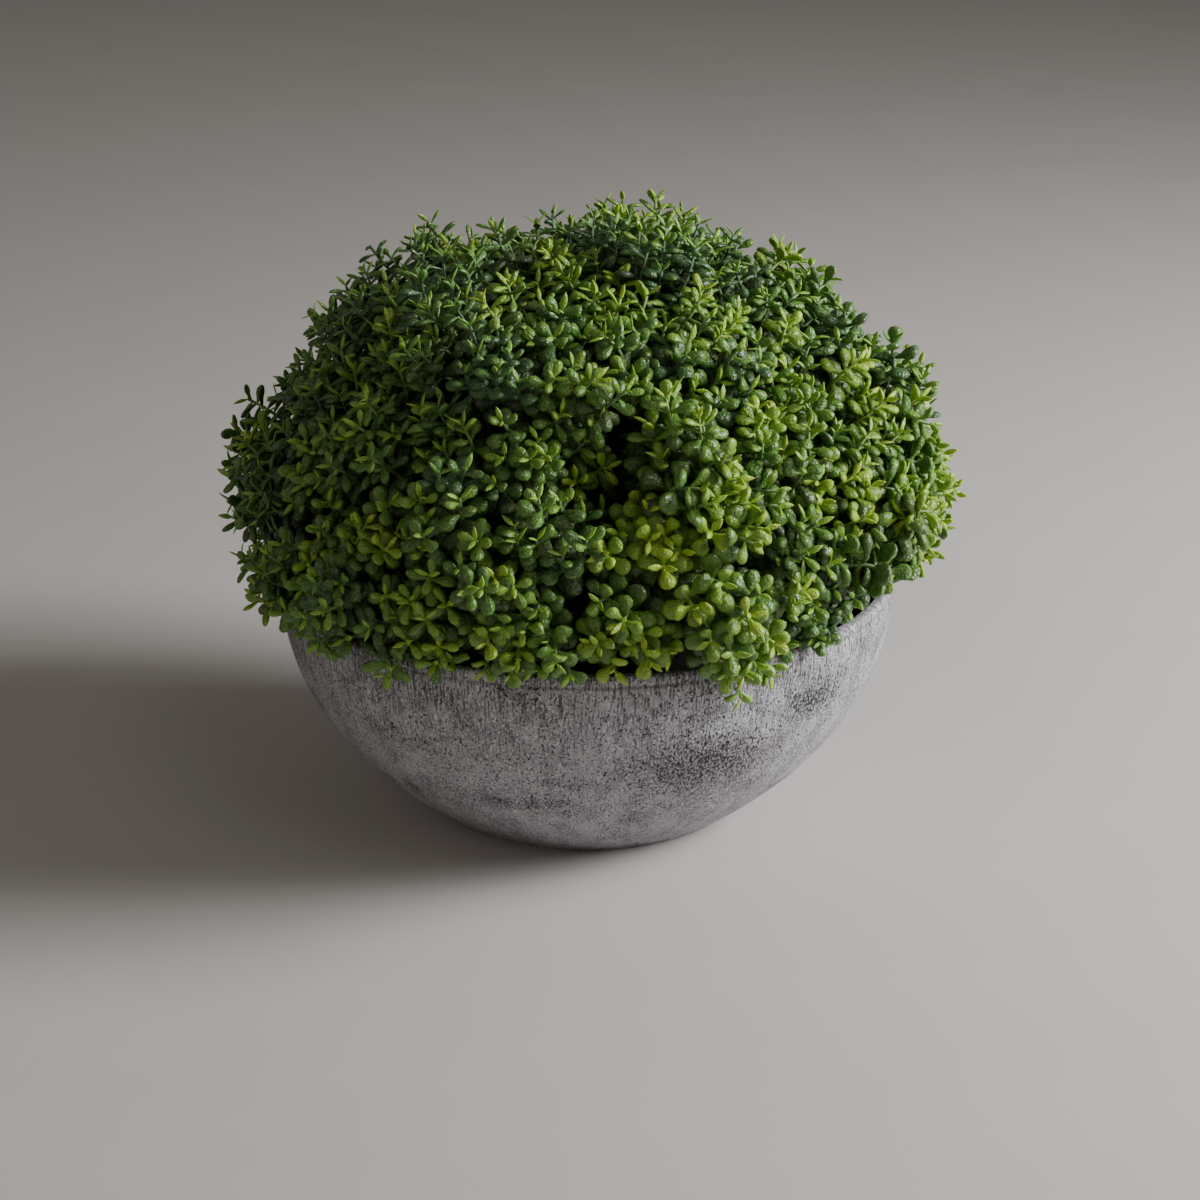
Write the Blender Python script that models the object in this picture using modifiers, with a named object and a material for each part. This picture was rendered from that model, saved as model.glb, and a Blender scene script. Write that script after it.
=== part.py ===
"""Artificial hebe ball in a round-bottomed bowl, built as separate solids.

The bowl and its filling are turned. A short stem stands on the filling, boughs fan out from it,
and each bough carries one mass of foliage: a core with twigs that stand out of it and thick leaves
in opposite pairs, each pair set across the one below. Leaves are fewer and larger than life.
Metres, +Z up. The origin is the centre of the bowl's flat underside, and -Y is the front.
"""

import math
import random

import bmesh
import bpy
from mathutils import Matrix, Vector

MM = 0.001
GAP = 0.3 * MM  # clearance between solids that touch

# Bowl: a turned shell with a small step round its foot
BOWL_RADIUS = 110 * MM
BOWL_HEIGHT = 87 * MM
FOOT_RADIUS = 56.4 * MM
FOOT_HEIGHT = 1.5 * MM
WALL = 4.5 * MM
RIM_ROUND = 1.0 * MM
BELLY_START = 55.7 * MM  # radius at which the belly's curve would meet the ground
BELLY_POWER = 2.3  # how fast the belly opens before it runs straight up to the rim
INNER_START = 0.06  # share of the height at which the inside wall meets the inside floor
OUTER_POINTS = 11
INNER_POINTS = 6
BOWL_STEPS = 48

# Filling: a foam plug that ends under the rim, level where the stem stands on it
FILL_RISE = 2.5 * MM  # from its edge up to the level patch
FILL_LEVEL = 60 * MM  # radius of the level patch

# Stem and boughs
CENTRE = Vector((0, 0, BOWL_HEIGHT + 1 * MM))  # where the lines of all the boughs meet
STEM_FLARE = 12 * MM
STEM_FOOT = 9 * MM
STEM_TIP = 8 * MM
STEM_FLARE_HEIGHT = 4 * MM
STEM_TOP = CENTRE.z + 12 * MM
STEM_STEPS = 16
BOUGH_FOOT = 3 * MM
BOUGH_TIP = 2.2 * MM
BOUGH_END = 50 * MM  # distance from the centre at which a bough ends in its mass
BOUGH_POINTS = 5

# Crown outline, measured from the centre to the tips of the leaves
TOP_REACH = 126 * MM
BELT_REACH = 140 * MM
TUCK_START = math.radians(15)  # elevation below which the outline draws in towards the rim
TUCK_RATE = 180 * MM  # how far it draws in, times the square of the angle below that
HOLLOW_AZIMUTH = math.radians(-86)  # a dark hollow in the front of the crown
HOLLOW_ELEVATION = math.radians(33)
HOLLOW_WIDTH = math.radians(7)

# Masses: a ring of side masses and three upper ones, with the hollow where three of them meet
RING_ELEVATION = math.radians(14)
UPPER_ELEVATION = math.radians(61)
RING = {
    "front_right": 1.00,
    "right": 1.02,
    "back_right": 1.00,
    "back": 1.00,
    "back_left": 0.99,
    "left": 0.97,
    "front_left": 1.00,
}  # share of the outline that each side mass fills, from the hollow anticlockwise
UPPER = {"upper_front": 1.00, "upper_right": 1.00, "upper_left": 0.99}

# Cores
CORE_CENTRE = 84 * MM
CORE_INNER = 55 * MM
CORE_SHARE = 0.80  # share of the outline that the core fills
CORE_MARGIN = 1.2 * MM  # from a core's side to the plane between two masses
CORE_ROUNDING = 14  # power that rounds the corners between a core's sides
CORE_BUMPS = 0.09
CORE_DIP = 0.28  # slope at which a core's underside runs down into the bowl from the rim
CORE_LIFT = 1.5 * MM  # from the rim and the filling up to a core
CORE_SUBDIVISIONS = 3

# Twigs and leaves
SPRIGS = 115
LOWEST_SINE = 0.03  # sine of the lowest twig's elevation
SPRIG_JITTER = 0.035
BORDER_SINE = 0.04  # sine of the angle that a twig's tip keeps from the next mass
TIP_JITTER = 0.04
TWIG_START = (0.42, 0.60)  # share of the outline at which twigs leave the mass's stem
TWIG_ROOT_RADIUS = 1.8 * MM
TWIG_TIP_RADIUS = 1.4 * MM
TIP_NODE = 1.0 * MM  # from a twig's end to its first pair
NODE_STEP = 9 * MM
LEAF_ROOT_SINK = 0.6 * MM
LEAF_BELLY = 0.58  # where along a leaf it is widest
LEAF_CUP = 0.25  # how far its edges rise, as a share of its thickness
PAIRS = (
    {"length": 18 * MM, "width": 9 * MM, "thickness": 3.4 * MM, "opening": math.radians(36)},
    {"length": 23 * MM, "width": 16 * MM, "thickness": 4.6 * MM, "opening": math.radians(66)},
)  # from the tip of the twig inwards
SPRIG_SIZE = (0.92, 1.08)  # leaves of one sprig against the sizes above
LEAF_SIZE = (0.95, 1.05)  # each leaf against its sprig
LEAF_SWAY = math.radians(6)  # how far a leaf may turn from its even place
LEAF_GAP = 0.3 * MM  # from a leaf to the plane between two masses
BOWL_CLEARANCE = 1.0 * MM
EDGE_SAMPLES = 5
GOLDEN_ANGLE = math.pi * (3 - math.sqrt(5))
SEED = 27

COLOURS = {
    "bowl": (0.30, 0.29, 0.285, 0.75),
    "filling": (0.035, 0.025, 0.018, 0.95),
    "wood": (0.16, 0.24, 0.12, 0.6),
    "side": (0.055, 0.12, 0.03, 0.45),
    "upper": (0.075, 0.17, 0.03, 0.45),
}  # base colour and roughness


# ---------------------------------------------------------------- helpers


def clear_scene():
    """Removes every object, so that the script starts from an empty scene."""
    for obj in list(bpy.data.objects):
        bpy.data.objects.remove(obj, do_unlink=True)


def new_collection(name):
    """Adds a collection to the scene."""
    collection = bpy.data.collections.new(name)
    bpy.context.scene.collection.children.link(collection)
    return collection


def new_material(name, colour):
    """A Principled material from a base colour and a roughness."""
    material = bpy.data.materials.new(name)
    material.use_nodes = True
    shader = material.node_tree.nodes["Principled BSDF"]
    shader.inputs["Base Color"].default_value = (*colour[:3], 1)
    shader.inputs["Roughness"].default_value = colour[3]
    return material


def add_object(name, data, collection, material=None):
    """Links a new object with the given data and material."""
    obj = bpy.data.objects.new(name, data)
    collection.objects.link(obj)
    if material:
        obj.data.materials.append(material)
    return obj


def direction(azimuth, elevation):
    """The unit vector at an azimuth from +X and an elevation from level."""
    level = math.cos(elevation)
    return Vector((level * math.cos(azimuth), level * math.sin(azimuth), math.sin(elevation)))


# ---------------------------------------------------------------- bowl, filling and stem


def belly(share, inset=0.0):
    """A point (radius, height) of the bowl's wall at a share of its height, moved inwards by inset.

    The outside runs as start + (rim - start) * (1 - (1 - share) ** power): steep out from the foot
    and straight up at the rim. The inside is the same curve moved along its normal.
    """
    spread = BOWL_RADIUS - BELLY_START
    radius = BELLY_START + spread * (1 - (1 - share) ** BELLY_POWER)
    slope = spread * BELLY_POWER * (1 - share) ** (BELLY_POWER - 1) / BOWL_HEIGHT
    length = math.hypot(1, slope)
    return radius - inset / length, share * BOWL_HEIGHT + inset * slope / length


def turned(name, profile, steps, collection, material):
    """A profile of (radius, height) points, turned round Z by a Screw modifier."""
    mesh = bpy.data.meshes.new(name)
    points = [(radius, 0, height) for radius, height in profile]
    mesh.from_pydata(points, [(i, i + 1) for i in range(len(points) - 1)], [])
    obj = add_object(name, mesh, collection, material)
    screw = obj.modifiers.new("Turn", "SCREW")
    screw.axis = "Z"
    screw.steps = steps
    screw.render_steps = steps
    screw.use_merge_vertices = True
    screw.merge_threshold = 0.00005
    screw.use_smooth_shade = True
    return obj


def shares(first, last, count):
    """Evenly spaced numbers from first to last."""
    return [first + (last - first) * i / (count - 1) for i in range(count)]


def inner_shares():
    """Shares of the height at which the inside wall has a point, from its floor to the rim."""
    return shares(INNER_START, 1 - RIM_ROUND / BOWL_HEIGHT, INNER_POINTS)


def bowl_profile():
    """Inside floor and wall, rounded rim, outside wall, step of the foot and flat underside."""
    inside = [belly(share, WALL) for share in inner_shares()]
    rim = [(inside[-1][0] + RIM_ROUND, BOWL_HEIGHT), (BOWL_RADIUS - RIM_ROUND, BOWL_HEIGHT)]
    rim_share = 1 - RIM_ROUND / BOWL_HEIGHT
    outside = [belly(share) for share in shares(rim_share, FOOT_HEIGHT / BOWL_HEIGHT, OUTER_POINTS)]
    foot = [(FOOT_RADIUS, FOOT_HEIGHT), (FOOT_RADIUS, 0), (0, 0)]
    return [(0, inside[0][1])] + inside + rim + outside + foot


def filling_top():
    """Height of the filling's level patch: a little over its edge at the last point below the rim."""
    return belly(inner_shares()[-2], WALL + GAP)[1] + FILL_RISE


def filling_profile():
    """A level top, a slope to the edge, then a side that follows the wall down to the floor."""
    side = [belly(share, WALL + GAP) for share in reversed(inner_shares()[:-1])]
    floor = belly(INNER_START, WALL)[1] + GAP
    side[-1] = (side[-1][0], floor)
    return [(0, filling_top()), (FILL_LEVEL, filling_top())] + side + [(0, floor)]


def stem_profile():
    """A flat top, a slight taper down to the flare, and the flat cut at the foot."""
    foot = filling_top() + GAP
    return [
        (0, STEM_TOP),
        (STEM_TIP, STEM_TOP),
        (STEM_FOOT, foot + STEM_FLARE_HEIGHT),
        (STEM_FLARE, foot),
        (0, foot),
    ]


def stem_radius(height):
    """Radius of the stem between its flare and its top."""
    start = filling_top() + GAP + STEM_FLARE_HEIGHT
    return STEM_FOOT + (STEM_TIP - STEM_FOOT) * (height - start) / (STEM_TOP - start)


def make_bough(name, axis, collection, material):
    """A straight limb that tapers along its axis, from just clear of the stem to its mass."""
    rise = axis.z
    level = math.hypot(axis.x, axis.y)
    beside = (stem_radius(CENTRE.z + BOUGH_FOOT) + GAP + BOUGH_FOOT * rise) / level
    above = STEM_TIP * level + (STEM_TOP - CENTRE.z) * rise + GAP
    curve = bpy.data.curves.new(name, "CURVE")
    curve.dimensions = "3D"
    curve.bevel_depth = BOUGH_FOOT
    curve.bevel_resolution = 2
    curve.use_fill_caps = True
    spline = curve.splines.new("POLY")
    spline.points.add(BOUGH_POINTS - 1)
    for i, distance in enumerate(shares(min(beside, above), BOUGH_END, BOUGH_POINTS)):
        along = i / (BOUGH_POINTS - 1)
        spline.points[i].co = (*(CENTRE + axis * distance), 1)
        spline.points[i].radius = 1 + (BOUGH_TIP / BOUGH_FOOT - 1) * along
    return add_object(name, curve, collection, material)


# ---------------------------------------------------------------- crown


def reach(way):
    """Distance from the centre to the leaf tips: highest round the belt, drawn in at the rim."""
    elevation = math.asin(way.z)
    distance = TOP_REACH + (BELT_REACH - TOP_REACH) * math.cos(elevation)
    return distance - TUCK_RATE * max(0, TUCK_START - elevation) ** 2


def mass_axes():
    """Each mass's name with the direction of its bough and its share of the outline."""
    axes = {}
    for names, elevation, first in ((RING, RING_ELEVATION, 0.5), (UPPER, UPPER_ELEVATION, 0.0)):
        for i, (name, fullness) in enumerate(names.items()):
            azimuth = HOLLOW_AZIMUTH + (i + first) * 2 * math.pi / len(names)
            axes[name] = (direction(azimuth, elevation), fullness)
    return axes


def dividing_planes(name, axes):
    """Unit normals, pointing into a mass, of the planes that part it from the other masses."""
    own = axes[name][0]
    return [(own - axis).normalized() for other, (axis, _) in axes.items() if other != name]


def sprig_ways(axes, rng):
    """Deals directions spread evenly over the crown to the masses that they fall in."""
    dealt = {name: [] for name in axes}
    hollow = direction(HOLLOW_AZIMUTH, HOLLOW_ELEVATION)
    for i in range(SPRIGS):
        sine = 1 - (1 - LOWEST_SINE) * (i + 0.5) / SPRIGS
        way = direction(i * GOLDEN_ANGLE, math.asin(sine))
        way += Vector([rng.uniform(-SPRIG_JITTER, SPRIG_JITTER) for _ in range(3)])
        way.z = max(way.z, LOWEST_SINE)
        way.normalize()
        if way.angle(hollow) > HOLLOW_WIDTH:
            nearest = max(axes, key=lambda name: way.dot(axes[name][0]))
            for plane in dividing_planes(nearest, axes):
                way += plane * max(0, BORDER_SINE - way.dot(plane))
            dealt[nearest].append(way.normalized())
    return dealt


def core_distance(way, centre, axis, planes, outer):
    """Distance from a core's centre to its skin: the nearest of its sides, with rounded corners."""
    sides = []
    for plane in planes:
        sides.append(((centre - CENTRE).dot(plane) - CORE_MARGIN, -way.dot(plane)))
    sides.append((CORE_CENTRE - CORE_INNER, -way.dot(axis)))
    distances = [depth / facing for depth, facing in sides if facing > 0]
    along = (centre - CENTRE).dot(way)
    distances.append(math.sqrt(along**2 + outer**2 - CORE_CENTRE**2) - along)
    return sum(distance**-CORE_ROUNDING for distance in distances) ** (-1 / CORE_ROUNDING)


def core_floor(radius):
    """Lowest height of a core at a radius: over the filling, up a slope and over the rim."""
    over_rim = BOWL_HEIGHT + CORE_LIFT + CORE_DIP * (radius - BOWL_RADIUS + WALL)
    return max(over_rim, filling_top() + CORE_LIFT)


def make_core(name, axis, planes, outer, rng, collection, material):
    """A ball whose points are drawn in to the sides of the mass's space."""
    centre = CENTRE + axis * CORE_CENTRE
    mesh = bpy.data.meshes.new(name)
    ball = bmesh.new()
    bmesh.ops.create_icosphere(ball, subdivisions=CORE_SUBDIVISIONS, radius=1)
    for vertex in ball.verts:
        way = vertex.co.normalized()
        bump = 1 - rng.uniform(0, CORE_BUMPS)
        vertex.co = centre + way * core_distance(way, centre, axis, planes, outer) * bump
        vertex.co.z = max(vertex.co.z, core_floor(math.hypot(vertex.co.x, vertex.co.y)))
    ball.to_mesh(mesh)
    ball.free()
    return add_object(name, mesh, collection, material)


def make_rod(name, start, end, radii, sides, collection):
    """A tapered rod from start to end."""
    mesh = bpy.data.meshes.new(name)
    rod = bmesh.new()
    length = (end - start).length
    turn = (end - start).to_track_quat("Z", "Y").to_matrix().to_4x4()
    bmesh.ops.create_cone(
        rod,
        cap_ends=True,
        segments=sides,
        radius1=radii[0],
        radius2=radii[1],
        depth=length,
        matrix=Matrix.Translation((start + end) / 2) @ turn,
    )
    rod.to_mesh(mesh)
    rod.free()
    return add_object(name, mesh, collection)


def leaf_mesh(name, shape):
    """A thick spoon-shaped leaf of eight faces along +X, widest past its middle, edges raised."""
    mesh = bpy.data.meshes.new(name)
    leaf = bmesh.new()
    bmesh.ops.create_uvsphere(leaf, u_segments=4, v_segments=2, radius=1)
    for vertex in leaf.verts:
        x, y, z = vertex.co
        along = LEAF_BELLY if abs(z) < 0.5 else (1 + z) / 2
        across = shape["width"] / 2 * x
        raised = shape["thickness"] / 2 * (y + 2 * LEAF_CUP * abs(x))
        vertex.co = (shape["length"] * along, across, raised)
    leaf.to_mesh(mesh)
    leaf.free()
    return mesh


def leaf_place(node, axis, side, opening, scale):
    """The matrix that lays a leaf from a point on its twig, opened from the twig's axis to a side."""
    along = axis * math.cos(opening) + side * math.sin(opening)
    face = axis * math.sin(opening) - side * math.cos(opening)
    turn = Matrix((along, face.cross(along), face)).transposed().to_4x4()
    root = node - along * LEAF_ROOT_SINK
    return Matrix.Translation(root) @ turn @ Matrix.Scale(scale, 4)


def keeps_clear(points, planes):
    """True where a convex shape with these corners is in its mass's space and off the bowl."""
    for plane in planes:
        if min((point - CENTRE).dot(plane) for point in points) < LEAF_GAP:
            return False
    for first in points:
        for second in points:
            for i in range(EDGE_SAMPLES):
                point = first.lerp(second, i / EDGE_SAMPLES)
                over = point.z > BOWL_HEIGHT + BOWL_CLEARANCE
                beyond = math.hypot(point.x, point.y) > BOWL_RADIUS + BOWL_CLEARANCE
                if not (over or beyond):
                    return False
    return True


def grow_sprig(way, axis, fullness, planes, leaves, rng, collection):
    """One twig from the mass's stem to the outline, with its pairs of leaves, each across the last."""
    tip_leaf = PAIRS[0]["length"] * math.cos(PAIRS[0]["opening"])
    edge = reach(way) * fullness * (1 - rng.uniform(0, TIP_JITTER))
    root = CENTRE + axis * BELT_REACH * rng.uniform(*TWIG_START)
    tip = CENTRE + way * (edge - tip_leaf)
    spin = rng.uniform(0, math.pi)
    size = rng.uniform(*SPRIG_SIZE)
    thickness = Vector((TWIG_ROOT_RADIUS,) * 3)
    corners = [tip - thickness, tip + thickness, root + thickness]
    if not keeps_clear(corners, planes):
        return
    make_rod("twig", root, tip, (TWIG_ROOT_RADIUS, TWIG_TIP_RADIUS), 3, collection)
    line = (tip - root).normalized()
    first_side = line.orthogonal().normalized()
    for i, (shape, mesh) in enumerate(zip(PAIRS, leaves)):
        node = tip - line * (TIP_NODE + NODE_STEP * i)
        for half in (0, math.pi):
            turn = spin + i * math.pi / 2 + half + rng.uniform(-LEAF_SWAY, LEAF_SWAY)
            side = Matrix.Rotation(turn, 3, line) @ first_side
            opening = shape["opening"] + rng.uniform(-LEAF_SWAY, LEAF_SWAY)
            place = leaf_place(node, line, side, opening, size * rng.uniform(*LEAF_SIZE))
            if keeps_clear([place @ vertex.co for vertex in mesh.vertices], planes):
                leaf = add_object("leaf", mesh, collection)
                leaf.matrix_world = place


def largest_piece(mesh):
    """Keeps the largest outer skin of a mesh: scraps go, and sealed hollows are filled."""
    shape = bmesh.new()
    shape.from_mesh(mesh)
    unseen = set(shape.faces)
    pieces = []
    while unseen:
        piece = []
        front = [unseen.pop()]
        while front:
            face = front.pop()
            piece.append(face)
            for edge in face.edges:
                for other in edge.link_faces if len(edge.link_faces) == 2 else ():
                    if other in unseen:
                        unseen.remove(other)
                        front.append(other)
        pieces.append(piece)
    pieces.sort(key=len)
    for piece in pieces[:-1]:
        bmesh.ops.delete(shape, geom=piece, context="FACES")
    shape.to_mesh(mesh)
    shape.free()


def fuse(obj, collection):
    """Joins a collection's objects to obj with one Boolean union, applies it and removes them."""
    union = obj.modifiers.new("Fuse", "BOOLEAN")
    union.operation = "UNION"
    union.operand_type = "COLLECTION"
    union.collection = collection
    union.solver = "MANIFOLD"
    bpy.context.view_layer.update()
    graph = bpy.context.evaluated_depsgraph_get()
    fused = bpy.data.meshes.new_from_object(obj.evaluated_get(graph))
    fused.name = obj.name
    obj.modifiers.clear()
    obj.data = fused
    largest_piece(fused)
    for member in list(collection.objects):
        bpy.data.objects.remove(member, do_unlink=True)
    bpy.data.collections.remove(collection)


def make_mass(name, axes, ways, leaves, rng, collection, material):
    """One mass of foliage: a core, its stem and its sprigs, fused into one solid."""
    axis, fullness = axes[name]
    planes = dividing_planes(name, axes)
    outer = reach(axis) * fullness * CORE_SHARE
    core = make_core("mass_" + name, axis, planes, outer, rng, collection, material)
    growth = new_collection("growth_" + name)
    stem_start = CENTRE + axis * (BOUGH_END + GAP)
    stem_end = CENTRE + axis * CORE_CENTRE
    make_rod("stem", stem_start, stem_end, (BOUGH_TIP, TWIG_ROOT_RADIUS), 8, growth)
    for way in ways:
        grow_sprig(way, axis, fullness, planes, leaves, rng, growth)
    fuse(core, growth)
    return core


def main():
    clear_scene()
    rng = random.Random(SEED)
    parts = new_collection("potted_hebe_ball")
    materials = {name: new_material(name, colour) for name, colour in COLOURS.items()}
    turned("bowl", bowl_profile(), BOWL_STEPS, parts, materials["bowl"])
    turned("filling", filling_profile(), BOWL_STEPS, parts, materials["filling"])
    turned("stem", stem_profile(), STEM_STEPS, parts, materials["wood"])
    axes = mass_axes()
    ways = sprig_ways(axes, rng)
    leaves = [leaf_mesh(f"leaf_{i}", shape) for i, shape in enumerate(PAIRS)]
    for name in axes:
        make_bough("bough_" + name, axes[name][0], parts, materials["wood"])
        green = materials["side" if name in RING else "upper"]
        make_mass(name, axes, ways[name], leaves, rng, parts, green)
    for mesh in leaves:
        bpy.data.meshes.remove(mesh)


main()
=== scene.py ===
# %% [markdown]
# # Artificial hebe ball in a lime-washed bowl
#
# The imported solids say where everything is: the bowl, its filling, a short stem, ten boughs and ten
# masses of foliage. This lesson puts the looks on them. Every shape is worked out with numpy as a
# whole array of points and then handed to Blender, in metres, in the frame of the solids.

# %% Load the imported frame
import math
import random

import bpy
import numpy as np
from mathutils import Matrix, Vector


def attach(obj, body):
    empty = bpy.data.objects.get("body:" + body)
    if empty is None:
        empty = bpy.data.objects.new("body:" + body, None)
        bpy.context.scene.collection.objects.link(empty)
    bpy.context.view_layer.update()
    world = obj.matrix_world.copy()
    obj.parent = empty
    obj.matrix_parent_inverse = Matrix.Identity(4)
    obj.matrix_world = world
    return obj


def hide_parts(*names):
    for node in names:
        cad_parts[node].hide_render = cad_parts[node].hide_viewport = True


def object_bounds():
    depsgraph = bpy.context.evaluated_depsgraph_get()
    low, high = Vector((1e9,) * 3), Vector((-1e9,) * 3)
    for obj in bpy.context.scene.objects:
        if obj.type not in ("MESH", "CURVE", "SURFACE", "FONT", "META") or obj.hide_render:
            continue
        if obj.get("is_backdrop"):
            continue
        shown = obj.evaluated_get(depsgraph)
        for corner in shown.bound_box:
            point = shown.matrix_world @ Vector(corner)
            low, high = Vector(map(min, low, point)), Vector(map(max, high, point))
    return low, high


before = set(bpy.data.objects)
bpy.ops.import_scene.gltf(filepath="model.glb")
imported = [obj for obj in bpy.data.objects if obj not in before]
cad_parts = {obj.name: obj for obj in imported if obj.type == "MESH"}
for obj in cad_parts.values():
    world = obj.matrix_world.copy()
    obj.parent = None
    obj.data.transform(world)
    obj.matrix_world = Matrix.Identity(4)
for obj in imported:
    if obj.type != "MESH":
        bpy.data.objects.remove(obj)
cad_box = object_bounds()
MM = 0.001
TURN = 2 * math.pi
print("nodes in the frame:", len(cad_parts))

# %% [markdown]
# ## Tools for meshes
#
# A leaf, a stalk and a bowl are all the same thing to Blender: rings of points, joined by quads,
# with a fan of triangles closing each end. So one function makes the faces of such a "ringed" form
# once, and repeats them for as many copies as the array of points holds. It could be done with
# bmesh face by face, but with thousands of leaves only whole arrays are quick enough.

# %% Ringed forms to one mesh
def ringed_faces(rings, around):
    """Corner numbers and face sizes of one closed form: a pole, rings of points, and a last pole.

    Point 0 is the first pole, ring i starts at 1 + i * around, and the last point is the last pole.
    The first fan, the quads between rings and the last fan all turn the same way.
    """
    here = np.arange(around)
    after = (here + 1) % around
    first = np.stack([np.zeros_like(here), 1 + after, 1 + here], 1)
    start = 1 + np.arange(rings - 1)[:, None] * around
    quads = np.stack([start + here, start + after, start + after + around, start + here + around], 2)
    end = 1 + (rings - 1) * around
    last = np.stack([np.full_like(here, end + around), end + here, end + after], 1)
    corners = np.concatenate([first.ravel(), quads.ravel(), last.ravel()])
    sizes = np.array([3] * around + [4] * (rings - 1) * around + [3] * around)
    return corners, sizes


def ringed_mesh(name, forms, rings, around):
    """One smooth mesh from an array of forms, each 2 + rings * around points, poles first and last."""
    corners, sizes = ringed_faces(rings, around)
    count, points = forms.shape[:2]
    corners = (corners[None] + np.arange(count)[:, None] * points).ravel().astype(np.int32)
    sizes = np.tile(sizes, count).astype(np.int32)
    mesh = bpy.data.meshes.new(name)
    mesh.vertices.add(count * points)
    mesh.vertices.foreach_set("co", forms.astype(np.float32).ravel())
    mesh.loops.add(len(corners))
    mesh.loops.foreach_set("vertex_index", corners)
    mesh.polygons.add(len(sizes))
    mesh.polygons.foreach_set("loop_start", (np.cumsum(sizes) - sizes).astype(np.int32))
    mesh.polygons.foreach_set("use_smooth", np.ones(len(sizes), bool))
    mesh.update(calc_edges=True)
    mesh.validate()
    return mesh


def add_object(name, data):
    """A new object in the scene, which shows a mesh, a light or a camera."""
    thing = bpy.data.objects.new(name, data)
    bpy.context.scene.collection.objects.link(thing)
    return thing


triangle_counts = []


def add_piece(name, mesh, material, replaced=()):
    """Adds a mesh as a piece of the object: it rides on the one body and stands for CAD nodes."""
    piece = add_object(name, mesh)
    mesh.materials.append(material)
    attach(piece, "root")
    if replaced:
        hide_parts(*replaced)
    triangle_counts.append(sum(len(face.vertices) - 2 for face in mesh.polygons))
    print(f"{name}: {triangle_counts[-1]} triangles")


# %% [markdown]
# ## Tools for materials
#
# Colours are written as sRGB hex values, as a paint card gives them, and one function turns them
# into the linear numbers that the renderer works in. Pattern sizes are written in millimetres.

# %% Colours, pattern sizes and nodes
def linear(colour):
    """A hex colour as linear RGBA: below 0.04045 it is divided by 12.92, above it is a power of 2.4."""
    levels = [int(colour[i : i + 2], 16) / 255 for i in (1, 3, 5)]
    return (*(v / 12.92 if v <= 0.04045 else ((v + 0.055) / 1.055) ** 2.4 for v in levels), 1)


def per_metre(size_mm):
    """The Scale of a texture whose features are this many millimetres across."""
    return 1000 / size_mm


def set_inputs(tree, node, inputs):
    """Fills a node's inputs: a plain value goes straight on its socket, another node's output is linked."""
    for name, value in inputs.items():
        if isinstance(value, bpy.types.NodeSocket):
            tree.links.new(value, node.inputs[name])
        else:
            node.inputs[name].default_value = value


def add_node(tree, kind, inputs=None, output=0, **settings):
    """Adds a shader node with its settings and links, and gives one of its outputs."""
    node = tree.nodes.new("ShaderNode" + kind)
    for name, value in settings.items():
        setattr(node, name, value)
    set_inputs(tree, node, inputs or {})
    return node.outputs[output]


COLOURS = {"output": "Result", "data_type": "RGBA"}  # what makes a Mix node mix two colours


def new_material(name):
    """A material, its node tree, and the one Principled shader that the tree starts with."""
    material = bpy.data.materials.new(name)
    material.use_nodes = True
    return material, material.node_tree, material.node_tree.nodes["Principled BSDF"]


# %% [markdown]
# ## Camera, floor and light
#
# The camera looks down by about 20 degrees through a longish lens, which draws the round rim with
# little perspective. The light is one large softbox high on the right, with weak ones above and on
# the left, so that the leaves show their shapes and the bowl turns from light to shade.

# %% Camera
LENS, SENSOR = 83.85, 36  # mm
CAMERA_PLACE, CAMERA_TILT = (0.00477, -0.9489, 0.4235), 69.746  # metres, and degrees from straight down
camera = add_object("camera", bpy.data.cameras.new("camera"))
camera.data.sensor_width = SENSOR
camera.data.lens = LENS
camera.data.clip_end = 20
camera.location = CAMERA_PLACE
camera.rotation_euler = (math.radians(CAMERA_TILT), 0, 0)
bpy.context.scene.camera = camera
print("the camera looks down by, degrees:", round(90 - CAMERA_TILT, 1))

# %% Floor
# A wide sheet of matt paper: it has no gloss, and a faint cloudiness keeps it from looking computed.
FLOOR_SIDE, FLOOR_DROP = 9.0, 0.1 * MM
floor_mesh = bpy.data.meshes.new("floor")
corners = FLOOR_SIDE / 2 * np.array([[-1, -1, 0], [1, -1, 0], [1, 1, 0], [-1, 1, 0]])
floor_mesh.from_pydata((corners - [0, 0, FLOOR_DROP]).tolist(), [], [(0, 1, 2, 3)])
floor = add_object("floor", floor_mesh)
paper, tree, shader = new_material("pale_paper")
place = add_node(tree, "TexCoord", output="Object")
grain = add_node(tree, "TexNoise", {"Vector": place, "Scale": per_metre(60), "Detail": 3.0})
tone = add_node(tree, "Mix", {"Factor": grain, "A": linear("#bfbcb8"), "B": linear("#c5c2be")}, **COLOURS)
set_inputs(tree, shader, {"Base Color": tone, "Roughness": 0.9})
floor_mesh.materials.append(paper)
floor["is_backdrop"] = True

# %% Light
def add_softbox(name, place, aim, side, power, colour):
    """A square area light at a place, turned to face a point."""
    data = bpy.data.lights.new(name, "AREA")
    data.size = side
    data.energy = power
    data.color = linear(colour)[:3]
    light = add_object(name, data)
    light.location = place
    light.rotation_euler = (Vector(place) - Vector(aim)).to_track_quat("Z", "Y").to_euler()
    print(f"{name} light: {power} W from a square of {side} m")


add_softbox("key", (1.19, -0.10, 0.66), (0, 0, 0.10), 0.6, 34, "#fefcfd")
add_softbox("top", (0.35, -0.75, 1.3), (0, 0, 0.15), 0.5, 0.85, "#ffffff")
add_softbox("fill", (-1.3, -1.1, 0.9), (0, 0, 0.10), 1.2, 2.8, "#fff1e6")
world = bpy.data.worlds.new("studio")
world.use_nodes = True
set_inputs(world.node_tree, world.node_tree.nodes["Background"],
           {"Color": linear("#c4bdb6"), "Strength": 0.26})
bpy.context.scene.world = world

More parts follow.
